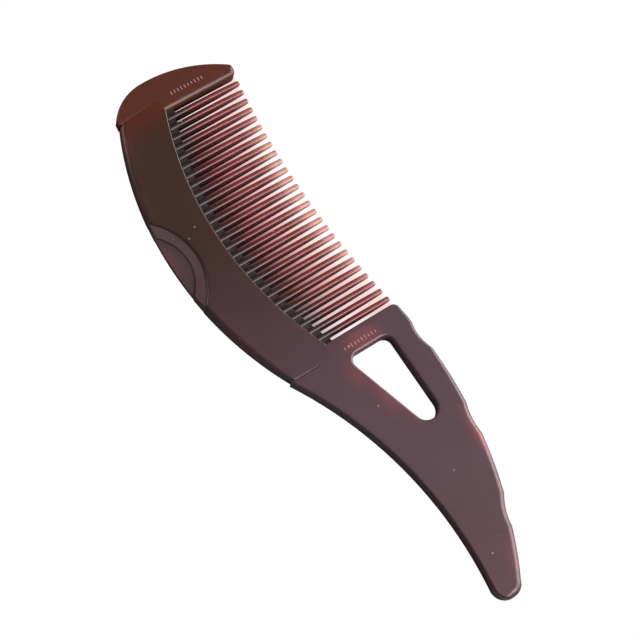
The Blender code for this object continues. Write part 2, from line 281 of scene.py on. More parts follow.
def layer(bottom, top):
    """Everything between two heights."""
    return prism("layer", [(-FAR, -FAR), (2 * FAR, -FAR), (2 * FAR, FAR), (-FAR, FAR)],
                 bottom, top)


def resampled(outline, step):
    """The same closed outline with no side longer than step."""
    points = []
    for index, start in enumerate(outline):
        end = outline[(index + 1) % len(outline)]
        count = max(1, math.ceil(math.dist(start, end) / step))
        for part in range(count):
            share = part / count
            points.append((start[0] + (end[0] - start[0]) * share,
                           start[1] + (end[1] - start[1]) * share))
    return points


def outward(points, window=1.6):
    """Outward directions of a counter-clockwise outline, averaged over a window
    so that insets from neighbouring points never cross at a tight corner."""
    count = len(points)
    sides = []
    for index, start in enumerate(points):
        end = points[(index + 1) % count]
        sides.append((end[1] - start[1], start[0] - end[0], math.dist(start, end)))
    directions = []
    for index in range(count):
        total_x = total_y = 0.0
        for way in (0, -1):
            reach, step = 0.0, way
            while reach < window:
                side = sides[(index + step) % count]
                total_x, total_y = total_x + side[0], total_y + side[1]
                reach += side[2]
                step += 1 if way == 0 else -1
        size = math.hypot(total_x, total_y)
        directions.append((total_x / size, total_y / size))
    return directions


def rounded_prism(name, outline, bottom, top, front_width, rear_width, steps=9):
    """A prism with round edges. The widths of the rounding are rules that take
    the place and the outward direction of the wall."""
    points = resampled(outline, 0.9)
    ways = outward(points)
    sections = []
    for face, rule, order in ((bottom, rear_width, 1), (top, front_width, -1)):
        sign = 1 if face == bottom else -1
        for angle in spaced(0, math.pi / 2, steps)[::order]:
            ring = []
            for (x, y), (out_x, out_y) in zip(points, ways):
                width = rule((x, y), (out_x, out_y))
                inset = width * (1 - math.sin(angle))
                ring.append((x - out_x * inset, y - out_y * inset,
                             face + sign * width * (1 - math.cos(angle))))
            sections.append(ring)
    return loft(name, sections)


def combine(solid, tool, operation="DIFFERENCE"):
    """One Boolean step, applied at once, with the tool removed."""
    step = solid.modifiers.new("trim", "BOOLEAN")
    step.operation = operation
    step.object = tool
    step.solver = "EXACT"
    bake(solid)
    bpy.data.objects.remove(tool, do_unlink=True)


def bake(solid):
    """Turn the evaluated object into a plain mesh with no modifiers left."""
    graph = bpy.context.evaluated_depsgraph_get()
    made = bpy.data.meshes.new_from_object(solid.evaluated_get(graph))
    solid.modifiers.clear()
    solid.data = made


def finish_surface(solid, sharp_angle=50):
    """Smooth shading, with flat faces kept flat."""
    solid.data.shade_smooth()
    solid.data.set_sharp_from_angle(angle=math.radians(sharp_angle))
    even = solid.modifiers.new("even shading", "WEIGHTED_NORMAL")
    even.mode = "FACE_AREA"
    even.weight = 90
    even.keep_sharp = True
    bake(solid)
    print(solid.name, len(solid.data.polygons), "faces")
    return solid


def eased(reach, depth, bottom, top, steps=5):
    """Heights of a cutter whose edge turns away over reach at both faces, in a
    quarter ellipse of that depth. Each is (height, how far the edge moved)."""
    turn = []
    for angle in spaced(0, math.pi / 2, steps):
        turn.append((depth * (1 - math.cos(angle)), reach * (1 - math.sin(angle))))
    rows = [(bottom - FAR, reach)] + [(bottom + height, back) for height, back in turn]
    return rows + [(top - height, back) for height, back in reversed(turn)] + [(top + FAR, reach)]


print("ready to make solids: loft, prism, layer, rounded_prism, combine, finish_surface")


# %% [markdown]
# ## Plastic
# The comb is one tinted, slightly see-through plastic. Light enters at the thin
# edges and comes out red, while the broad faces look brown to mauve. So the
# shader is a Principled BSDF with some subsurface scattering, a colour that
# drifts along the comb, soft redder patches of painted glow near edges where
# light would come through, a few pale specks, and a fine bump for the moulded
# skin. All patterns use Object coordinates, which follow the piece from any side.

# %% Plastic
SPECKS_PER_METRE, SPECK_RADIUS, SPECK_COLOUR = 210.0, 0.05, (0.30, 0.22, 0.22)
SHADE_DRIFT, MATT_DRIFT = 0.12, 0.05


def ramp_node(material, fraction, stops):
    """A colour ramp over (place from 0 to 1, colour) stops."""
    nodes, links = material.node_tree.nodes, material.node_tree.links
    tint = nodes.new("ShaderNodeValToRGB")
    while len(tint.color_ramp.elements) < len(stops):
        tint.color_ramp.elements.new(0.5)
    for element, (share, colour) in zip(tint.color_ramp.elements, stops):
        element.position = share
        element.color = (*colour, 1.0)
    links.new(fraction, tint.inputs["Fac"])
    return tint.outputs["Color"]


def share_along(material, place, stops):
    """Colour by the distance along the comb. stops are (mm, colour)."""
    nodes, links = material.node_tree.nodes, material.node_tree.links
    axes, share = nodes.new("ShaderNodeSeparateXYZ"), nodes.new("ShaderNodeMapRange")
    links.new(place, axes.inputs[0])
    links.new(axes.outputs["X"], share.inputs["Value"])
    share.inputs["From Min"].default_value = -SHIFT_X * MM
    share.inputs["From Max"].default_value = (LENGTH - SHIFT_X) * MM
    return ramp_node(material, share.outputs["Result"],
                     [(x / LENGTH, colour) for x, colour in stops])


def share_from_rim(material, place, stops):
    """Colour by the distance from the rim arc towards the tooth tips. stops are
    (mm, colour)."""
    nodes, links = material.node_tree.nodes, material.node_tree.links
    centre, radius = arc_circle(RIM_ENDS, RIM_RISE)
    flat, away = nodes.new("ShaderNodeVectorMath"), nodes.new("ShaderNodeVectorMath")
    length, share = nodes.new("ShaderNodeVectorMath"), nodes.new("ShaderNodeMapRange")
    flat.operation, away.operation, length.operation = "MULTIPLY", "SUBTRACT", "LENGTH"
    links.new(place, flat.inputs[0])
    flat.inputs[1].default_value = (1, 1, 0)
    links.new(flat.outputs[0], away.inputs[0])
    away.inputs[1].default_value = centre
    links.new(away.outputs[0], length.inputs[0])
    links.new(length.outputs["Value"], share.inputs["Value"])
    share.inputs["From Min"].default_value = radius
    share.inputs["From Max"].default_value = radius - TOOTH_REACH * MM
    return ramp_node(material, share.outputs["Result"],
                     [(depth / TOOTH_REACH, colour) for depth, colour in stops])


def painted_light_patches(material, place, base, spots):
    """Blend soft elliptical patches of another colour into base, as painted light:
    a glow or a brighter pool where more light would get in. A spot is
    (x mm, y mm, half width mm, half height mm, colour, strength)."""
    nodes, links = material.node_tree.nodes, material.node_tree.links
    for x, y, half_x, half_y, colour, strength in spots:
        shift, squash = nodes.new("ShaderNodeVectorMath"), nodes.new("ShaderNodeVectorMath")
        size, fade = nodes.new("ShaderNodeVectorMath"), nodes.new("ShaderNodeMapRange")
        shift.operation, squash.operation, size.operation = "SUBTRACT", "MULTIPLY", "LENGTH"
        links.new(place, shift.inputs[0])
        shift.inputs[1].default_value = ((x - SHIFT_X) * MM, (y - SHIFT_Y) * MM, 0)
        links.new(shift.outputs[0], squash.inputs[0])
        squash.inputs[1].default_value = (1 / (half_x * MM), 1 / (half_y * MM), 0)
        links.new(squash.outputs[0], size.inputs[0])
        fade.interpolation_type = "SMOOTHSTEP"
        links.new(size.outputs["Value"], fade.inputs["Value"])
        fade.inputs["To Min"].default_value = strength
        fade.inputs["To Max"].default_value = 0.0
        mix = nodes.new("ShaderNodeMix")
        mix.data_type = "RGBA"
        links.new(fade.outputs["Result"], mix.inputs[0])
        links.new(base, mix.inputs[6])
        mix.inputs[7].default_value = (*colour, 1.0)
        base = mix.outputs[2]
    return base


def specked(material, place, base):
    """A few pale specks, where a cell's seed point happens to lie in the surface."""
    nodes, links = material.node_tree.nodes, material.node_tree.links
    cells, near, mix = (nodes.new(kind) for kind in (
        "ShaderNodeTexVoronoi", "ShaderNodeMath", "ShaderNodeMix"))
    cells.inputs["Scale"].default_value = SPECKS_PER_METRE
    links.new(place, cells.inputs["Vector"])
    near.operation = "LESS_THAN"
    links.new(cells.outputs["Distance"], near.inputs[0])
    near.inputs[1].default_value = SPECK_RADIUS
    mix.data_type = "RGBA"
    links.new(near.outputs[0], mix.inputs[0])
    links.new(base, mix.inputs[6])
    mix.inputs[7].default_value = (*SPECK_COLOUR, 1)
    return mix.outputs[2]


def plastic(name, field, stops, roughness, glow, glow_depth, spots=(), matter=()):
    """field is the rule that lays the stops out over the piece. glow is the share
    of light that sinks in, and glow_depth is how far, in metres. matter holds
    stops of extra roughness laid out by the same rule."""
    material = bpy.data.materials.new(name)
    material.use_nodes = True
    nodes, links = material.node_tree.nodes, material.node_tree.links
    shader = nodes["Principled BSDF"]
    place = nodes.new("ShaderNodeTexCoord").outputs["Object"]
    tint = painted_light_patches(material, place, field(material, place, stops), spots)

    cloud = nodes.new("ShaderNodeTexNoise")
    cloud.inputs["Scale"].default_value = 60.0
    cloud.inputs["Detail"].default_value = 3.0
    links.new(place, cloud.inputs["Vector"])
    spread = nodes.new("ShaderNodeMapRange")
    spread.inputs["To Min"].default_value = 1 - SHADE_DRIFT
    spread.inputs["To Max"].default_value = 1 + SHADE_DRIFT
    links.new(cloud.outputs["Fac"], spread.inputs["Value"])
    shade = nodes.new("ShaderNodeVectorMath")
    shade.operation = "SCALE"
    links.new(tint, shade.inputs[0])
    links.new(spread.outputs["Result"], shade.inputs["Scale"])
    links.new(specked(material, place, shade.outputs["Vector"]), shader.inputs["Base Color"])

    skin = nodes.new("ShaderNodeTexNoise")
    skin.inputs["Scale"].default_value = 900.0
    skin.inputs["Detail"].default_value = 2.0
    links.new(place, skin.inputs["Vector"])
    matt = nodes.new("ShaderNodeMapRange")
    matt.inputs["To Min"].default_value = roughness - MATT_DRIFT
    matt.inputs["To Max"].default_value = roughness + MATT_DRIFT
    links.new(skin.outputs["Fac"], matt.inputs["Value"])
    surface = matt.outputs["Result"]
    if matter:
        duller = nodes.new("ShaderNodeMath")
        duller.operation = "ADD"
        links.new(surface, duller.inputs[0])
        links.new(field(material, place, matter), duller.inputs[1])
        surface = duller.outputs[0]
    links.new(surface, shader.inputs["Roughness"])
    ripple = nodes.new("ShaderNodeBump")
    ripple.inputs["Strength"].default_value = 0.05
    ripple.inputs["Distance"].default_value = 0.00002
    links.new(skin.outputs["Fac"], ripple.inputs["Height"])
    links.new(ripple.outputs["Normal"], shader.inputs["Normal"])

    shader.inputs["IOR"].default_value = 1.49
    shader.inputs["Subsurface Weight"].default_value = glow
    shader.inputs["Subsurface Radius"].default_value = (1.0, 0.22, 0.18)
    shader.inputs["Subsurface Scale"].default_value = glow_depth
    print("material", name)
    return material


MAUVE, BROWN, RUST = (0.058, 0.031, 0.039), (0.035, 0.0168, 0.0125), (0.068, 0.0145, 0.006)
PLUM = (0.060, 0.023, 0.029)
# the red of the patches is painted glow, where light would come through thin edges
PAINTED_GLOW_RED = (0.18, 0.046, 0.052)
BODY_STOPS = [(0, RUST), (9, RUST), (17, BROWN), (52, BROWN), (95, MAUVE), (135, MAUVE),
              (LENGTH, PLUM)]
# the spots are painted glow: redder near the spine's back edge, where light would come through
# the plastic
spine_plastic = plastic("spine_plastic", share_along, BODY_STOPS, 0.32, 0.25, 0.003, [
    (12, 6, 12, 6, PAINTED_GLOW_RED, 0.3), (30, 1, 12, 4, PAINTED_GLOW_RED, 0.25), (84, 4, 18, 6, PAINTED_GLOW_RED, 0.12),
])
head_plastic = plastic("head_plastic", share_along, BODY_STOPS, 0.42, 0.3, 0.003)
# the spots are painted glow: redder beside the finger hole, along the tooth-side edge and at the
# tip, where light would come through the plastic
handle_plastic = plastic("handle_plastic", share_along, BODY_STOPS, 0.38, 0.35, 0.003, [
    (HANDLE_WALL + 4, 33.5, 4.6, 9, PAINTED_GLOW_RED, 0.7),
    (HANDLE_WALL + 12, 26.5, 8, 4.5, PAINTED_GLOW_RED, 0.4),
    (HANDLE_WALL + 21, 30.5, 9, 4.5, PAINTED_GLOW_RED, 0.45),
    (HANDLE_WALL + 28, 34.5, 7, 4, PAINTED_GLOW_RED, 0.35),
    (LENGTH - 40, 46.5, 16, 3.5, PAINTED_GLOW_RED, 0.75),
    (LENGTH - 20, 44.5, 14, 4.0, PAINTED_GLOW_RED, 0.85),
    (LENGTH - 5, 37, 12, 7, PAINTED_GLOW_RED, 0.6),
])
# the stops are the plastic's red with painted light and shade on it: dark where shade falls at
# the roots and over the webs, paler and pinker towards the thin tips, where light would shine
# through
tooth_plastic = plastic("tooth_plastic", share_from_rim, [
    (0, (0.020, 0.012, 0.012)), (3, (0.022, 0.010, 0.010)), (8, (0.075, 0.008, 0.008)),
    (15, (0.13, 0.020, 0.018)), (20, (0.13, 0.026, 0.023)), (23.5, (0.24, 0.08, 0.07)),
    (26, (0.40, 0.20, 0.17)),
], 0.32, 0.25, 0.0008, matter=[(0, (0.12,) * 3), (2.8, (0.1,) * 3), (5, (0.0,) * 3)])
# the spot is painted glow at the rest's back edge, where light would come through
rest_plastic = plastic("rest_plastic", share_along,
                       [(40, (0.066, 0.040, 0.042)), (64, (0.056, 0.030, 0.030))],
                       0.36, 0.25, 0.002, [(51, 0.5, 9, 2.2, PAINTED_GLOW_RED, 0.2)])


def settle(piece, material, slot, *nodes):
    """Give a finished piece its plastic, its body and the nodes it stands for."""
    piece.data.materials.clear()
    piece.data.materials.append(material)
    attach(piece, "root")
    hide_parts(*nodes)
    print(piece.name, "stands for", ", ".join(nodes))


# %% [markdown]
# ## Cheeks
# The spine is covered by two thin curved plates, one on each face. Their
# tooth-side edge stands a little above the teeth and shows as a bright rim. At
# each seam the edges on both sides turn away a little near the back, so that
# the seam shows as a fine line which fades out towards the teeth.

# %% Cheeks
SEAM_EASE, SEAM_DEPTH = 1.0, 0.07
SEAM_GAP = 0.012
PARTING = 0.03             # half the gap between two shells at mid thickness
LEDGE = 0.5                # the finger rest's ledge lies this far below the face
BACK_WALL, CORE_PLAY = 2.0, 0.05
RIM_ROUND, BACK_ROUND, NOTCH_ROUND = 0.4, 1.6, 0.8


def cheek_region():
    sections = []
    for height, back in eased(SEAM_EASE, SEAM_DEPTH, 0.0, THICKNESS):
        ring = head_seam(SEAM_GAP / 2, back)
        ring += [(HEAD_WALL + SEAM_GAP, FAR), (HANDLE_WALL - SEAM_GAP, FAR)]
        ring += handle_seam(-SEAM_GAP / 2, -back)
        sections.append([(x, y, height) for x, y in ring])
    return loft("cheek_region", sections)


def core_pocket():
    """Room for the blade's core, which starts behind a solid back wall."""
    left, right = HEAD_SEAM - SEAM_OVERLAP, HANDLE_SEAM + SEAM_OVERLAP
    outline = [(x, back_height(x) + BACK_WALL) for x in spaced(left, right, 60)]
    outline += [(right, FAR), (left, FAR)]
    return prism("core_pocket", outline, CORE_BOTTOM - CORE_PLAY, CORE_TOP + CORE_PLAY)


def rest_cut():
    """The rest's opening, with a soft shoulder down to its ledge."""
    rows = eased(1.0, LEDGE, 0.0, THICKNESS, 8)
    return loft("rest_cut", [[(x, y, height) for x, y in disc(REST_CHORD, REST_DEPTH, -back)]
                             for height, back in rows])


def cheek_front_round(place, way):
    """A full round back that tightens towards the handle, and a crisp rim."""
    if way[1] > 0:
        return RIM_ROUND
    return BACK_ROUND - (BACK_ROUND - NOTCH_ROUND) * ramp(place[0], HANDLE_SEAM - 16, 14)


def make_cheek(name, bottom, top):
    cheek = rounded_prism(name, spine_outline(), 0.0, THICKNESS,
                          cheek_front_round, lambda place, way: RIM_ROUND)
    combine(cheek, cheek_region(), "INTERSECT")
    combine(cheek, layer(bottom, top), "INTERSECT")
    combine(cheek, core_pocket())
    combine(cheek, rest_cut())
    return finish_surface(cheek)


front_cheek = make_cheek("cheek_front", MID + PARTING, FAR)
rear_cheek = make_cheek("cheek_rear", -FAR, MID - PARTING)
settle(front_cheek, spine_plastic, "spine_plastic", "front_cheek")
settle(rear_cheek, spine_plastic, "spine_plastic", "rear_cheek")

# %% [markdown]
# ## Head guard
# The head is the blunt end past the first tooth. It is one block, so it is the
# whole frame outline with rounded edges, trimmed at the seam.

# %% Head guard
HEAD_ROUND, TIGHT_ROUND, REAR_ROUND = 1.5, 0.6, 0.35
GRIP_ROUND, GRIP_ROUND_RISE = 1.2, 0.8
SOFT_SIDE = (0.75, 0.66)    # direction in which an edge is softest


def frame_front_round(place, way):
    """Broad and soft towards the teeth and the grip side, tighter at the back."""
    facing = SOFT_SIDE[0] * way[0] + SOFT_SIDE[1] * way[1]
    widest = HEAD_ROUND
    if place[0] > ROW_MIDDLE:
        widest = GRIP_ROUND + GRIP_ROUND_RISE * ramp(place[0], HANDLE_WALL + 10, 35)
    return TIGHT_ROUND + (widest - TIGHT_ROUND) * ramp(facing, 0.2, 0.5)


def frame_rear_round(place, way):
    return REAR_ROUND


def make_head():
    head = rounded_prism("head_block", frame_outline(), 0.0, THICKNESS,
                         frame_front_round, frame_rear_round)
    sections = []
    for height, back in eased(SEAM_EASE, SEAM_DEPTH, 0.0, THICKNESS):
        ring = head_seam(-SEAM_GAP / 2, -back)
        ring += [(ROW_MIDDLE, RIM_ENDS), (ROW_MIDDLE, FAR), (-FAR, FAR), (-FAR, -FAR)]
        sections.append([(x, y, height) for x, y in ring])
    combine(head, loft("head_region", sections), "INTERSECT")
    return finish_surface(head)


head = make_head()
settle(head, head_plastic, "head_plastic", "head_guard")

# %% [markdown]
# ## Handle
# Two shells meet at mid thickness and leave a fine line round the edge. The
# finger hole is a rounded triangle: three circles joined by their tangents.

# %% Handle
HOLE_ROUND = 0.6


def tangent_angle(circle, following):
    """Direction from a circle's centre to the tangent line that it shares with
    the next circle, walked counter-clockwise."""
    dx, dy = following[0] - circle[0], following[1] - circle[1]
    return math.atan2(dy, dx) - math.acos((circle[2] - following[2]) / math.hypot(dx, dy))


def hole_outline(grow):
    """The finger hole, grown outwards by grow."""
    circles = [
        (HOLE_START + HOLE_CORNER, HOLE_TOP - HOLE_WIDTH + HOLE_CORNER, HOLE_CORNER),
        (HOLE_START + HOLE_LENGTH - HOLE_TIP, HOLE_TOP - HOLE_TIP, HOLE_TIP),
        (HOLE_START + HOLE_CORNER, HOLE_TOP - HOLE_CORNER, HOLE_CORNER),
    ]
    points = []
    for index, (x, y, radius) in enumerate(circles):
        start = tangent_angle(circles[index - 1], circles[index])
        end = tangent_angle(circles[index], circles[(index + 1) % 3])
        if end < start:
            end += 2 * math.pi
        for angle in spaced(start, end, 25):
            # the edge is softest at the wide end, towards the tooth row
            reach = radius + grow * (1.25 - 0.35 * math.cos(angle))
            points.append((x + reach * math.cos(angle), y + reach * math.sin(angle)))
    return points


def make_handle_half(name, sign):
    """sign is 1 for the front half and -1 for the rear half."""
    half = rounded_prism(name, frame_outline(), 0.0, THICKNESS,
                         frame_front_round, frame_rear_round)
    sections = []
    for height, back in eased(SEAM_EASE, SEAM_DEPTH, 0.0, THICKNESS):
        ring = [(ROW_MIDDLE, RIM_ENDS)] + handle_seam(SEAM_GAP / 2, back)
        ring += [(LENGTH + FAR, -FAR), (LENGTH + FAR, FAR), (ROW_MIDDLE, FAR)]
        sections.append([(x, y, height) for x, y in ring])
    combine(half, loft("handle_region", sections), "INTERSECT")
    hole = [[(x, y, height) for x, y in hole_outline(back)]
            for height, back in eased(HOLE_ROUND, HOLE_ROUND, 0.0, THICKNESS, 7)]
    combine(half, loft("hole", hole))
    bottom, top = (MID + PARTING, FAR) if sign > 0 else (-FAR, MID - PARTING)
    combine(half, layer(bottom, top), "INTERSECT")
    return finish_surface(half)


front_handle = make_handle_half("handle_front", 1)
rear_handle = make_handle_half("handle_rear", -1)
settle(front_handle, handle_plastic, "handle_plastic", "front_handle_half")
settle(rear_handle, handle_plastic, "handle_plastic", "rear_handle_half")

# %% [markdown]
# ## Finger rest
# A lens-shaped pad let into the back of the spine, one step down, with a second
# step inside it. It is cut out of the spine's own rounded outline, so that its
# back edge stays in line with the cheeks.

# %% Finger rest
PAD_STEP, PAD_FALL, PAD_SLOPE = 0.35, 0.09, 0.3
REST_FRONT_ROUND, REST_REAR_ROUND = 0.5, 0.3


def pad_cut(side):
    """Cutter for the pad: its floor falls away towards the back of the spine."""
    floor, shoulder, outside = [], [], []
    for (x, y), (low_x, low_y) in zip(disc(PAD_CHORD, PAD_DEPTH, 0.0),
                                      disc(PAD_CHORD, PAD_DEPTH, PAD_SLOPE)):
        depth = LEDGE + PAD_STEP + PAD_FALL * (PAD_DEPTH - y)
        floor.append((low_x, low_y, THICKNESS - depth if side > 0 else depth))
        shoulder.append((x, y, THICKNESS - LEDGE if side > 0 else LEDGE))
        outside.append((x, y, MID + side * FAR))
    rings = [floor, shoulder, outside]
    return loft("pad_cut", rings if side > 0 else rings[::-1])


def make_rest():
    rest = prism("finger_pad", disc(REST_CHORD, REST_DEPTH, SEAM_GAP), LEDGE, THICKNESS - LEDGE)
    spine = rounded_prism("spine", spine_outline(), LEDGE, THICKNESS - LEDGE,
                          lambda place, way: REST_FRONT_ROUND,
                          lambda place, way: REST_REAR_ROUND, 5)
    combine(rest, spine, "INTERSECT")
    combine(rest, pad_cut(1))
    combine(rest, pad_cut(-1))
    return finish_surface(rest, 35)


rest = make_rest()
settle(rest, rest_plastic, "rest_plastic", "finger_rest")

# %% [markdown]
# ## Tooth row
# The 27 teeth are one pattern tooth repeated on a line. Geometry Nodes place a
# point for each tooth, read the rim arc and the tip arc at that point, and
# stretch the pattern between them.

# %% Pattern tooth
TEETH, PITCH, TOOTH_WIDTH = 27, 3.0, 1.5
SLOT = PITCH - TOOTH_WIDTH
ROOT_THICKNESS, TIP_THICKNESS = THICKNESS - 0.5, 1.4
CROWN, LOWER_CORNER = 0.52, 0.18
TIP_ROUND = 0.6 / 26        # length of the rounded tip, as a share of a tooth
TIP_TRIM = 1.2
WEB_REACH, WEB_HOLLOW = 3.0, 0.35


def tooth_ring(y, width, thickness):
    """Cross-section of a tooth: round on top, a bar with eased corners below."""
    half, crown = width / 2, min(CROWN, thickness * 0.4)
    corner = min(LOWER_CORNER, width * 0.2, thickness * 0.2)
    points = []
    for angle in spaced(0, math.pi, 15):
        points.append((half * math.cos(angle), thickness / 2 - crown + crown * math.sin(angle)))
    for side, start in ((-1, math.pi), (1, 1.5 * math.pi)):
        for angle in spaced(start, start + math.pi / 2, 4):
            points.append((side * (half - corner) + corner * math.cos(angle),
                           -thickness / 2 + corner + corner * math.sin(angle)))
    return [(SHIFT_X + x, y + SHIFT_Y, MID + z) for x, z in points]


def pattern_tooth():
    """A tooth one millimetre long, from its root at 0 to its tip at 1."""
    sections = []
    for share in spaced(0.0, 1.0, 15):
        lost = (ROOT_THICKNESS - TIP_THICKNESS) * share ** 3
        sections.append(tooth_ring((1 - TIP_ROUND) * share, TOOTH_WIDTH, ROOT_THICKNESS - lost))
    for degrees in (20, 40, 60, 80):
        angle = math.radians(degrees)
        trim = TIP_TRIM * (1 - math.cos(angle))
        sections.append(tooth_ring(1 - TIP_ROUND + TIP_ROUND * math.sin(angle),
                                   TOOTH_WIDTH - trim, TIP_THICKNESS - trim))
    return loft("pattern_tooth", sections)


print(TEETH, "teeth of", TOOTH_WIDTH, "mm, slots of", SLOT, "mm")


# %% Tooth row tree
def tooth_tree(pattern, material):
    tree = bpy.data.node_groups.new("tooth row", "GeometryNodeTree")
    for name, kind, value in (
            ("Teeth", "NodeSocketInt", TEETH),
            ("Pitch", "NodeSocketFloat", PITCH * MM),
            ("First tooth", "NodeSocketFloat", 0.0),
            ("Rim centre", "NodeSocketVector", (0, 0, 0)),
            ("Rim radius", "NodeSocketFloat", 0.1),
            ("Tip centre", "NodeSocketVector", (0, 0, 0)),
            ("Tip radius", "NodeSocketFloat", 0.1)):
        socket = tree.interface.new_socket(name, in_out="INPUT", socket_type=kind)
        socket.default_value = value
    tree.interface.new_socket("Row", in_out="OUTPUT", socket_type="NodeSocketGeometry")
    nodes, links = tree.nodes, tree.links
    given, result = nodes.new("NodeGroupInput"), nodes.new("NodeGroupOutput")

    def put(socket, value):
        if isinstance(value, bpy.types.NodeSocket):
            links.new(value, socket)
        else:
            socket.default_value = value

    def math_node(operation, first, second=0.0):
        node = nodes.new("ShaderNodeMath")
        node.operation = operation
        put(node.inputs[0], first)
        put(node.inputs[1], second)
        return node.outputs[0]

    def height_on(centre, radius, x):
        """Y of the lower half of a circle at x."""
        parts = nodes.new("ShaderNodeSeparateXYZ")
        put(parts.inputs[0], given.outputs[centre])
        across = math_node("SUBTRACT", x, parts.outputs["X"])
        square = math_node("MULTIPLY", across, across)
        whole = math_node("MULTIPLY", given.outputs[radius], given.outputs[radius])
        drop = math_node("SQRT", math_node("SUBTRACT", whole, square))
        return math_node("SUBTRACT", parts.outputs["Y"], drop)

    line = nodes.new("GeometryNodeMeshLine")
    put(line.inputs["Count"], given.outputs["Teeth"])
    step, start = nodes.new("ShaderNodeCombineXYZ"), nodes.new("ShaderNodeCombineXYZ")
    put(step.inputs["X"], given.outputs["Pitch"])
    put(start.inputs["X"], given.outputs["First tooth"])
    put(line.inputs["Offset"], step.outputs[0])
    put(line.inputs["Start Location"], start.outputs[0])

    spot, parts = nodes.new("GeometryNodeInputPosition"), nodes.new("ShaderNodeSeparateXYZ")
    put(parts.inputs[0], spot.outputs[0])
    root = height_on("Rim centre", "Rim radius", parts.outputs["X"])
    tip = height_on("Tip centre", "Tip radius", parts.outputs["X"])
    root_place, size = nodes.new("ShaderNodeCombineXYZ"), nodes.new("ShaderNodeCombineXYZ")
    put(root_place.inputs["X"], parts.outputs["X"])
    put(root_place.inputs["Y"], root)
    lift = nodes.new("GeometryNodeSetPosition")
    put(lift.inputs["Geometry"], line.outputs["Mesh"])
    put(lift.inputs["Position"], root_place.outputs[0])
    # the size is read before the points are lifted, while they lie on the line
    keep = nodes.new("GeometryNodeCaptureAttribute")
    keep.capture_items.new("FLOAT", "Length")
    put(keep.inputs["Geometry"], line.outputs["Mesh"])
    put(keep.inputs["Length"], math_node("DIVIDE", math_node("SUBTRACT", tip, root), MM))
    put(lift.inputs["Geometry"], keep.outputs["Geometry"])
    put(size.inputs["X"], 1.0)
    put(size.inputs["Y"], keep.outputs["Length"])
    put(size.inputs["Z"], 1.0)

    source = nodes.new("GeometryNodeObjectInfo")
    source.inputs["Object"].default_value = pattern
    row = nodes.new("GeometryNodeInstanceOnPoints")
    put(row.inputs["Points"], lift.outputs["Geometry"])
    put(row.inputs["Instance"], source.outputs["Geometry"])
    put(row.inputs["Scale"], size.outputs[0])
    solid, skin = nodes.new("GeometryNodeRealizeInstances"), nodes.new("GeometryNodeSetMaterial")
    put(solid.inputs["Geometry"], row.outputs["Instances"])
    put(skin.inputs["Geometry"], solid.outputs["Geometry"])
    skin.inputs["Material"].default_value = material
    put(result.inputs["Row"], skin.outputs["Geometry"])
    print(tree.name, "with", len(nodes), "nodes")
    return tree


def set_inputs(modifier, values):
    """Give the named inputs of a Geometry Nodes modifier their values."""
    for item in modifier.node_group.interface.items_tree:
        if item.item_type == "SOCKET" and item.name in values:
            modifier[item.identifier] = values[item.name]


# %% Tooth row
def make_teeth():
    pattern = pattern_tooth()
    blank = bpy.data.meshes.new("tooth_row")
    row = bpy.data.objects.new("tooth_row", blank)
    bpy.context.scene.collection.objects.link(row)
    plan = row.modifiers.new("row", "NODES")
    plan.node_group = tooth_tree(pattern, tooth_plastic)
    rim_centre, rim_radius = arc_circle(RIM_ENDS + 0.05, RIM_RISE)
    tip_centre, tip_radius = arc_circle(TIP_LINE, TIP_RISE)
    first = HEAD_WALL + SLOT + TOOTH_WIDTH / 2 - SHIFT_X
    set_inputs(plan, {"Teeth": TEETH, "Pitch": PITCH * MM, "First tooth": first * MM,
                      "Rim centre": rim_centre, "Rim radius": rim_radius,
                      "Tip centre": tip_centre, "Tip radius": tip_radius})
    bake(row)
    bpy.data.objects.remove(pattern, do_unlink=True)
    return row


def core_outline():
    """Back edge and slot floors of the core that carries the teeth."""
    left, right = HEAD_SEAM + 2.5, HANDLE_SEAM - 0.5
    points = [(x, back_height(x) + 2.1) for x in spaced(left, right, 60)]
    for index in reversed(range(TEETH + 1)):
        start = HEAD_WALL + index * PITCH
        low = max(start - SLOT * 0.1, HEAD_WALL + 0.05)
        high = min(start + SLOT * 1.1, HANDLE_WALL - 0.05)
        middle, half = (low + high) / 2, (high - low) / 2
        floor = rim_height(middle) + WEB_REACH
        for turn in spaced(0, math.pi, 9):
            points.append((middle + half * math.cos(turn), floor - WEB_HOLLOW * math.sin(turn)))
    return points


def make_blade():
    blade = prism("tooth_blade_core", core_outline(), CORE_BOTTOM, CORE_TOP)
    combine(blade, make_teeth(), "UNION")
    combine(blade, prism("rest_cut", disc(REST_CHORD, REST_DEPTH, 0.0), -FAR, FAR))
    return finish_surface(blade)


blade = make_blade()
settle(blade, tooth_plastic, "tooth_plastic", "tooth_blade")

# %% [markdown]
# ## Tick rows
# A short row of raised ticks stands on the head and another on the handle, at
# right angles to the teeth. Geometry Nodes repeat one small bar on a line, and
# a seeded random value makes the bars differ a little in length, as worn
# moulded marks do.

# %% Tick rows
TICKS, TICK_HEIGHT, TICK_CLEARANCE = 10, 0.05, 0.004
TICK_PITCH, TICK_WIDTH = 1.15, 0.32
SHORTEST_TICK, LONGEST_TICK = 0.7, 1.2


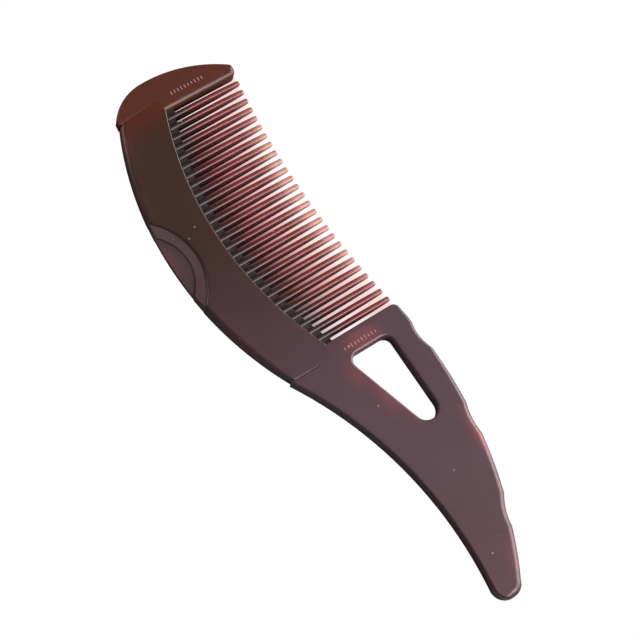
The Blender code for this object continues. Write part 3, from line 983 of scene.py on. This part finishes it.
def tick_tree(material):
    tree = bpy.data.node_groups.new("tick row", "GeometryNodeTree")
    for name, kind, value in (
            ("Ticks", "NodeSocketInt", TICKS),
            ("Pitch", "NodeSocketFloat", TICK_PITCH * MM),
            ("First tick", "NodeSocketVector", (0, 0, 0)),
            ("Shortest", "NodeSocketFloat", SHORTEST_TICK),
            ("Longest", "NodeSocketFloat", LONGEST_TICK),
            ("Seed", "NodeSocketInt", 3)):
        socket = tree.interface.new_socket(name, in_out="INPUT", socket_type=kind)
        socket.default_value = value
    tree.interface.new_socket("Row", in_out="OUTPUT", socket_type="NodeSocketGeometry")
    nodes, links = tree.nodes, tree.links
    given, result = nodes.new("NodeGroupInput"), nodes.new("NodeGroupOutput")
    line, step = nodes.new("GeometryNodeMeshLine"), nodes.new("ShaderNodeCombineXYZ")
    bar, row = nodes.new("GeometryNodeMeshCube"), nodes.new("GeometryNodeInstanceOnPoints")
    chance, size = nodes.new("FunctionNodeRandomValue"), nodes.new("ShaderNodeCombineXYZ")
    solid, skin = nodes.new("GeometryNodeRealizeInstances"), nodes.new("GeometryNodeSetMaterial")
    links.new(given.outputs["Ticks"], line.inputs["Count"])
    links.new(given.outputs["Pitch"], step.inputs["Y"])
    links.new(step.outputs[0], line.inputs["Offset"])
    links.new(given.outputs["First tick"], line.inputs["Start Location"])
    bar.inputs["Size"].default_value = (1 * MM, TICK_WIDTH * MM, TICK_HEIGHT * MM)
    chance.data_type = "FLOAT"
    links.new(given.outputs["Shortest"], chance.inputs[2])
    links.new(given.outputs["Longest"], chance.inputs[3])
    links.new(given.outputs["Seed"], chance.inputs["Seed"])
    links.new(chance.outputs[1], size.inputs["X"])
    size.inputs["Y"].default_value = size.inputs["Z"].default_value = 1.0
    links.new(line.outputs["Mesh"], row.inputs["Points"])
    links.new(bar.outputs["Mesh"], row.inputs["Instance"])
    links.new(size.outputs[0], row.inputs["Scale"])
    links.new(row.outputs["Instances"], solid.inputs["Geometry"])
    links.new(solid.outputs["Geometry"], skin.inputs["Geometry"])
    skin.inputs["Material"].default_value = material
    links.new(skin.outputs["Geometry"], result.inputs["Row"])
    print(tree.name, "with", len(nodes), "nodes")
    return tree


def make_ticks(name, x, y, seed):
    row = bpy.data.objects.new(name, bpy.data.meshes.new(name))
    bpy.context.scene.collection.objects.link(row)
    plan = row.modifiers.new("row", "NODES")
    plan.node_group = tick_tree(tick_plastic)
    height = THICKNESS + TICK_CLEARANCE + TICK_HEIGHT / 2
    set_inputs(plan, {"Ticks": TICKS, "Pitch": TICK_PITCH * MM,
                      "Shortest": SHORTEST_TICK, "Longest": LONGEST_TICK, "Seed": seed,
                      "First tick": [(x - SHIFT_X) * MM, (y - SHIFT_Y) * MM, height * MM]})
    bake(row)
    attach(row, "root")
    print(name, len(row.data.polygons), "faces")


tick_plastic = plastic("tick_plastic", share_along, [
    (0, (0.30, 0.15, 0.14)), (LENGTH, (0.32, 0.17, 0.17))], 0.35, 0.2, 0.001)
make_ticks("head_ticks", HEAD_WALL - 3.9, 28.2, 3)
make_ticks("handle_ticks", HANDLE_WALL + 4.15, 27.8, 8)

# %% [markdown]
# ## Floor, light and camera
# A pale floor and three soft disc lamps: a broad one from the tooth side, one
# above the handle, and a dim warm one from the head. A floor that took the real
# shadow turned grey all round the comb, so this one looks evenly white. It is
# tinted only below the tooth row, where see-through teeth would colour what
# little light gets between them. The camera looks down from the spine side, a
# little from the handle end.

# %% Floor
FLOOR_HALF_SIZE, FLOOR_DROP = 3.0, 0.0002
FLOOR_GREY, FLOOR_GLOW = 0.16, 1.02
MASK_OVERLAP = 1            # how far the mask runs under the head and the handle


def row_mask(material, place):
    """1 on the floor below the tooth row, 0 elsewhere and on its underside."""
    nodes, links = material.node_tree.nodes, material.node_tree.links
    axes, reach = nodes.new("ShaderNodeSeparateXYZ"), nodes.new("ShaderNodeVectorMath")
    side = nodes.new("ShaderNodeNewGeometry")
    centre, radius = arc_circle(TIP_LINE, TIP_RISE)
    reach.operation = "DISTANCE"
    links.new(place, axes.inputs[0])
    links.new(place, reach.inputs[0])
    reach.inputs[1].default_value = centre
    tests = (
        ("GREATER_THAN", axes.outputs["X"], (HEAD_WALL - SHIFT_X - MASK_OVERLAP) * MM),
        ("LESS_THAN", axes.outputs["X"], (HANDLE_WALL - SHIFT_X + MASK_OVERLAP) * MM),
        ("GREATER_THAN", axes.outputs["Y"], (RIM_ENDS - RIM_RISE - SHIFT_Y) * MM),
        ("GREATER_THAN", reach.outputs["Value"], radius),
        ("LESS_THAN", side.outputs["Backfacing"], 0.5),
    )
    inside = None
    for test, value, edge in tests:
        check = nodes.new("ShaderNodeMath")
        check.operation = test
        links.new(value, check.inputs[0])
        check.inputs[1].default_value = edge
        if inside:
            both = nodes.new("ShaderNodeMath")
            both.operation = "MULTIPLY"
            links.new(inside, both.inputs[0])
            links.new(check.outputs[0], both.inputs[1])
            inside = both.outputs[0]
        else:
            inside = check.outputs[0]
    return inside


def make_floor():
    floor = bpy.data.objects.new("floor", bpy.data.meshes.new("floor"))
    bpy.context.scene.collection.objects.link(floor)
    shape = bmesh.new()
    bmesh.ops.create_grid(shape, x_segments=1, y_segments=1, size=FLOOR_HALF_SIZE)
    shape.to_mesh(floor.data)
    shape.free()
    floor.location.z = -FLOOR_DROP
    material = bpy.data.materials.new("pale_floor")
    material.use_nodes = True
    nodes, links = material.node_tree.nodes, material.node_tree.links
    shader = nodes["Principled BSDF"]
    shader.inputs["Base Color"].default_value = (FLOOR_GREY, FLOOR_GREY, FLOOR_GREY, 1)
    shader.inputs["Roughness"].default_value = 0.9
    # seen directly the floor is burnt out, but little light reaches it between the
    # teeth, and what does has taken their colour
    place = nodes.new("ShaderNodeTexCoord").outputs["Object"]
    path, lit = nodes.new("ShaderNodeLightPath"), nodes.new("ShaderNodeEmission")
    blend, pick = nodes.new("ShaderNodeMixShader"), nodes.new("ShaderNodeMix")
    pick.data_type = "RGBA"
    links.new(row_mask(material, place), pick.inputs[0])
    pick.inputs[6].default_value = (1, 1, 1, 1)
    between = share_from_rim(material, place, [
        (0, (0.03, 0.02, 0.02)), (3, (0.06, 0.028, 0.026)), (8, (0.14, 0.065, 0.06)),
        (14, (0.50, 0.26, 0.25)), (19.5, (0.85, 0.55, 0.53)), (24.5, (0.98, 0.86, 0.83)),
        (TOOTH_REACH, (1, 1, 1))])
    # more light gets in at the two ends of the row
    links.new(painted_light_patches(material, place, between, [
        (HEAD_WALL, 34, 20, 18, (1.0, 0.86, 0.84), 0.9),
        (HANDLE_WALL, 34, 20, 18, (1.0, 0.88, 0.86), 0.95)]), pick.inputs[7])
    links.new(pick.outputs[2], lit.inputs["Color"])
    lit.inputs["Strength"].default_value = FLOOR_GLOW
    links.new(path.outputs["Is Camera Ray"], blend.inputs["Fac"])
    links.new(shader.outputs[0], blend.inputs[1])
    links.new(lit.outputs[0], blend.inputs[2])
    links.new(blend.outputs[0], nodes["Material Output"].inputs["Surface"])
    floor.data.materials.append(material)
    print("floor", 2 * FLOOR_HALF_SIZE, "m square")


make_floor()

# %% Light
def soft_light(name, direction, distance, size, power, colour=(1, 1, 1)):
    lamp = bpy.data.lights.new(name, "AREA")
    lamp.shape = "DISK"
    lamp.size = size
    lamp.energy = power
    lamp.color = colour
    holder = bpy.data.objects.new(name, lamp)
    bpy.context.scene.collection.objects.link(holder)
    out = Vector(direction).normalized()
    holder.location = out * distance
    holder.rotation_mode = "QUATERNION"
    holder.rotation_quaternion = out.to_track_quat("Z", "Y")
    print(name, power, "W")


soft_light("tooth_side_light", (0.15, 0.95, 0.33), 0.9, 0.95, 18.0, (1.0, 0.90, 0.91))
soft_light("handle_light", (0.6, 0.3, 0.7), 0.9, 0.65, 10.0)
soft_light("head_light", (-0.8, -0.35, 0.28), 0.9, 0.7, 3.6, (1.0, 0.78, 0.72))
world = bpy.data.worlds.new("studio")
world.use_nodes = True
world.node_tree.nodes["Background"].inputs["Color"].default_value = (0.9, 0.93, 1.0, 1)
world.node_tree.nodes["Background"].inputs["Strength"].default_value = 0.08
bpy.context.scene.world = world
bpy.context.scene.view_settings.view_transform = "Standard"

# %% Camera
AIM = Vector((86.92 - SHIFT_X, 26.71 - SHIFT_Y, 4.1)) * MM
AZIMUTH, ELEVATION, ROLL = (math.radians(angle) for angle in (32.15, 68.82, 30.81))
DISTANCE = 504.0 * MM
SENSOR_WIDTH, FOCAL_LENGTH, NEAREST = 36.0, 101.25, 0.01


def make_camera():
    lens = bpy.data.cameras.new("camera")
    lens.sensor_width = SENSOR_WIDTH
    lens.lens = FOCAL_LENGTH
    lens.clip_start = NEAREST
    holder = bpy.data.objects.new("camera", lens)
    bpy.context.scene.collection.objects.link(holder)
    back = Vector((math.sin(AZIMUTH) * math.cos(ELEVATION),
                   -math.cos(AZIMUTH) * math.cos(ELEVATION), math.sin(ELEVATION)))
    level = (Vector((0, 1, 0)) - back * back.y).normalized()
    side = level.cross(back)
    right = level * math.cos(ROLL) + side * math.sin(ROLL)
    up = level * math.sin(ROLL) - side * math.cos(ROLL)
    place = AIM + back * DISTANCE
    holder.matrix_world = Matrix((right, up, back)).transposed().to_4x4()
    holder.location = place
    bpy.context.scene.camera = holder
    print("camera at", [round(part, 4) for part in place])


make_camera()
